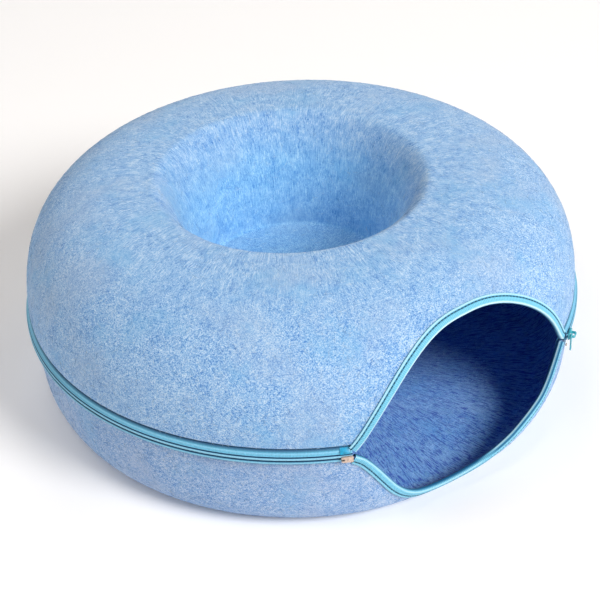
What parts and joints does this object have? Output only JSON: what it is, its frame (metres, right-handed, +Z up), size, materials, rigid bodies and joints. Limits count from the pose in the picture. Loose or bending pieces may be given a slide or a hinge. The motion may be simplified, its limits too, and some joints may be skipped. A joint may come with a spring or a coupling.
{
  "type": "felt cat cave",
  "caption": "Round moulded felt pet cave: a closed ring with a sunken well on top, zipped to a shallow base, with a bound arched entrance at one side.",
  "frame": {"origin": "middle of the flat base, on the surface it stands on", "axes": "+Z up, -Y out through the middle of the entrance, +X to the right of someone facing the entrance"},
  "size_m": [0.5, 0.4886, 0.2],
  "materials": {
    "upper_felt": "pale blue moulded needle felt",
    "lower_felt": "pale blue moulded needle felt, slightly more violet",
    "tape": "sky blue woven tape, finely ribbed",
    "tape_film": "bright blue film welded to the tape's end",
    "copper_metal": "copper coloured metal",
    "teal_metal": "teal enamel on metal"
  },
  "bodies": {
    "root": {"upper_shell": "upper_felt", "lower_shell": "lower_felt", "zip_upper_tape": "tape", "zip_lower_tape": "tape", "zip_coil": "tape", "zip_box": "copper_metal", "zip_slider": "teal_metal", "zip_pull": "teal_metal", "zip_stop": "copper_metal", "film_patch_left": "tape_film", "film_patch_right": "tape_film", "arch_binding": "tape", "lip_binding": "tape"}
  },
  "joints": []
}
